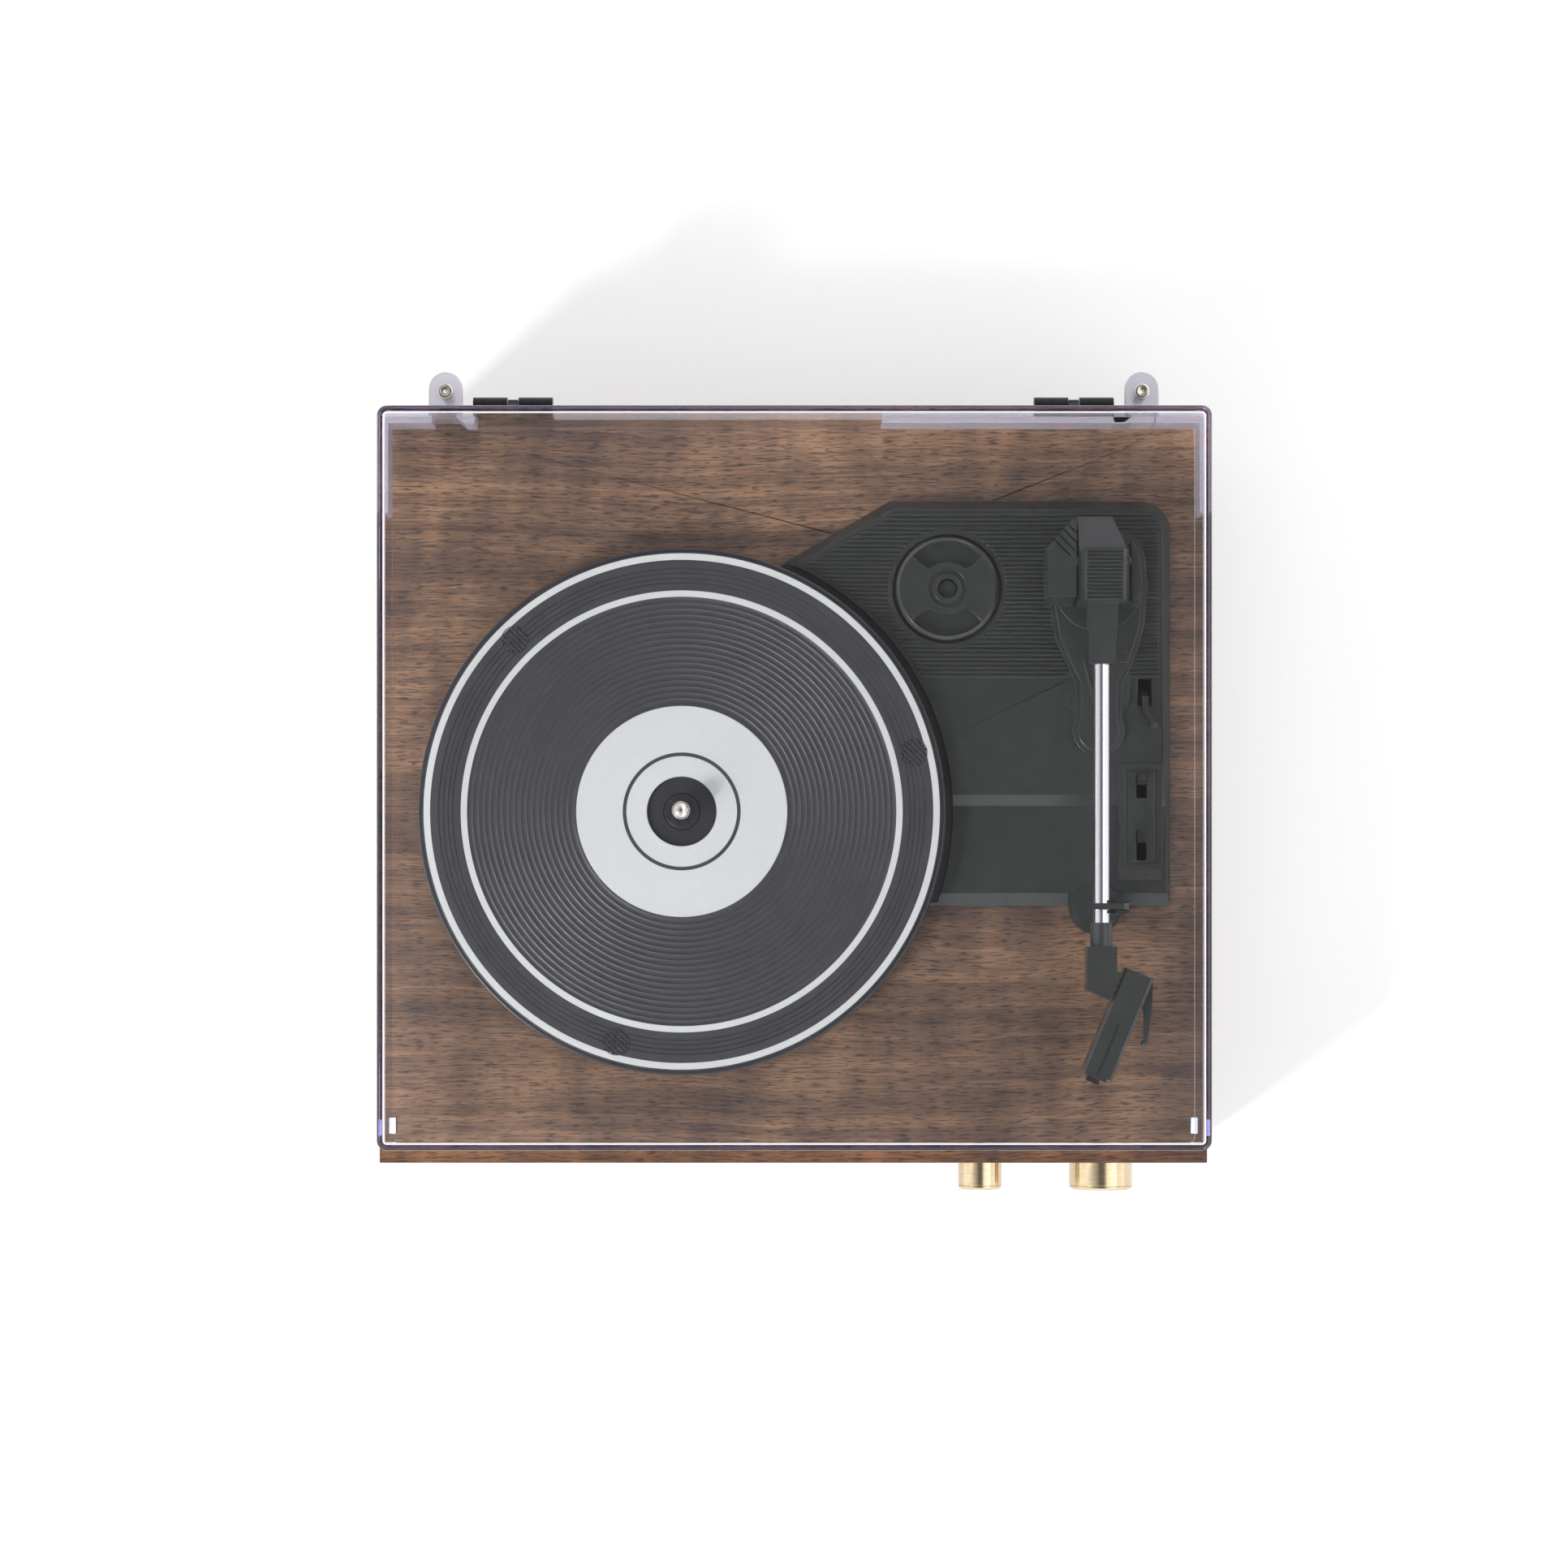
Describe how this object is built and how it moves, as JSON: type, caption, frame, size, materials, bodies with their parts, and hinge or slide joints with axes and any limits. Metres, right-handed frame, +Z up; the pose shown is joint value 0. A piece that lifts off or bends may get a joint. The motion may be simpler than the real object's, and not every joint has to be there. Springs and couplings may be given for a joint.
{
  "type": "turntable record player",
  "caption": "Belt-drive record player: walnut box with speakers behind a front grille, ribbed black deck with tonearm, rubber mat, gold knobs and a clear hinged lid.",
  "frame": {"origin": "on the floor under the middle of the whole object's box", "axes": "+X to the user's right, +Y to the back where the lid hinges are, +Z up"},
  "size_m": [0.309, 0.3048, 0.127],
  "materials": {
    "walnut_veneer": "satin walnut veneer, grain from side to side",
    "fibreboard": "raw board",
    "foot_rubber": "matt",
    "zinc_steel": "zinc plated",
    "black_abs": "fine moulded texture",
    "speaker_cloth": "plain weave",
    "speaker_steel": "satin",
    "cone_paper": "pressed pulp",
    "circuit_board": "solder mask",
    "champagne_aluminium": "anodised, fine turned finish",
    "socket_plastic": "red and white",
    "nickel_plate": "polished nickel",
    "turned_brass": "turned",
    "belt_rubber": "ground flat belt",
    "nylon": "natural",
    "spring_steel": "blackened",
    "platter_plastic": "moulded",
    "mat_rubber": "ribbed, with white printed rings",
    "pad_rubber": "cross hatched",
    "chromed_tube": "polished",
    "stylus_plastic": "moulded",
    "switch_plastic": "ribbed",
    "clear_styrene": "clear with a faint violet edge",
    "soft_vinyl": "translucent",
    "hinge_steel": "black"
  },
  "bodies": {
    "plinth": {"top_board": "walnut_veneer", "front_board": "walnut_veneer", "back_board": "walnut_veneer", "left_board": "walnut_veneer", "right_board": "walnut_veneer", "bottom_board": "fibreboard", "foot_front_left": "foot_rubber", "foot_front_right": "foot_rubber", "foot_rear_left": "foot_rubber", "foot_rear_right": "foot_rubber", "foot_screws": "zinc_steel", "grille_frame": "black_abs", "grille_cloth": "speaker_cloth", "speaker_left": "speaker_steel", "speaker_right": "speaker_steel", "speaker_cones": "cone_paper", "main_board": "circuit_board", "volume_pot": "zinc_steel", "selector_switch": "zinc_steel", "jack_plate": "black_abs", "dc_jack": "black_abs", "rca_jacks": "socket_plastic", "aux_jack": "nickel_plate", "deck_plate": "black_abs", "deck_screws": "zinc_steel", "motor": "zinc_steel", "drive_belt": "belt_rubber", "spindle": "nickel_plate", "thrust_washer": "nylon", "spindle_clip": "spring_steel", "arm_base": "black_abs", "arm_rest": "black_abs", "hinge_bases": "hinge_steel", "hinge_pins": "zinc_steel"},
    "platter": {"platter": "platter_plastic", "platter_bush": "platter_plastic", "platter_mat": "mat_rubber", "grip_pads": "pad_rubber"},
    "pulley": {"motor_pulley": "turned_brass"},
    "yoke": {"arm_yoke": "black_abs", "pitch_pin": "zinc_steel"},
    "arm": {"arm_block": "black_abs", "counterweight": "zinc_steel", "arm_tube": "chromed_tube", "arm_elbow": "black_abs", "headshell": "black_abs", "cartridge": "black_abs", "stylus": "stylus_plastic"},
    "lift_rod": {"lift_rod": "zinc_steel"},
    "cue_lever": {"cue_lever": "switch_plastic"},
    "arm_clip": {"arm_clip": "black_abs"},
    "speed_switch": {"speed_switch": "switch_plastic"},
    "auto_stop_switch": {"auto_stop_switch": "switch_plastic"},
    "volume_knob": {"volume_knob": "champagne_aluminium"},
    "selector_knob": {"selector_knob": "champagne_aluminium"},
    "adapter": {"adapter_45": "black_abs"},
    "lid": {"lid": "clear_styrene", "lid_bumpers": "soft_vinyl", "lid_stop_screws": "nickel_plate", "hinge_leaves": "hinge_steel"}
  },
  "joints": [
    {"name": "platter_spin", "type": "hinge", "parent": "plinth", "child": "platter", "pos_m": [-0.0413, -0.0099, 0.09], "axis": [0, 0, 1], "continuous": true},
    {"name": "pulley_spin", "type": "hinge", "parent": "plinth", "child": "pulley", "pos_m": [0.02072, 0.01267, 0.087], "axis": [0, 0, 1], "continuous": true},
    {"name": "arm_swing", "type": "hinge", "parent": "plinth", "child": "yoke", "pos_m": [0.1125, 0.0731, 0.09], "axis": [0, 0, -1], "range_deg": [0, 42]},
    {"name": "arm_lift", "type": "hinge", "parent": "yoke", "child": "arm", "pos_m": [0.1125, 0.0811, 0.106], "axis": [-1, 0, 0], "range_deg": [0, 2]},
    {"name": "lift_rod_slide", "type": "slide", "parent": "plinth", "child": "lift_rod", "axis": [0, 0, 1], "range_m": [0, 0.0003]},
    {"name": "cue_lever_tilt", "type": "hinge", "parent": "plinth", "child": "cue_lever", "pos_m": [0.1302, 0.033, 0.083], "axis": [-1, 0, 0], "range_deg": [0, 60]},
    {"name": "arm_clip_open", "type": "hinge", "parent": "plinth", "child": "arm_clip", "pos_m": [0.1206, -0.0452, 0.1065], "axis": [0, 1, 0], "range_deg": [0, 110]},
    {"name": "speed_slide", "type": "slide", "parent": "plinth", "child": "speed_switch", "axis": [0, -1, 0], "range_m": [0, 0.0063]},
    {"name": "auto_stop_slide", "type": "slide", "parent": "plinth", "child": "auto_stop_switch", "axis": [0, -1, 0], "range_m": [0, 0.0049]},
    {"name": "volume_turn", "type": "hinge", "parent": "plinth", "child": "volume_knob", "pos_m": [0.1183, -0.145, 0.044], "axis": [0, 1, 0], "range_deg": [0, 300]},
    {"name": "selector_turn", "type": "hinge", "parent": "plinth", "child": "selector_knob", "pos_m": [0.0719, -0.145, 0.044], "axis": [0, 1, 0], "range_deg": [0, 90]},
    {"name": "lid_hinge", "type": "hinge", "parent": "plinth", "child": "lid", "pos_m": [0, 0.142, 0.082], "axis": [-1, 0, 0], "range_deg": [0, 70]},
    {"name": "adapter_lift", "type": "slide", "parent": "plinth", "child": "adapter", "axis": [0, 0, 1], "range_m": [0, 0.022]}
  ],
  "couplings": [
    {"joint": "pulley_spin", "follows": "platter_spin", "ratio": 13.976},
    {"joint": "cue_lever_tilt", "follows": "arm_lift", "ratio": 30},
    {"joint": "lift_rod_slide", "follows": "arm_lift", "m_per_rad": 0.0084}
  ]
}
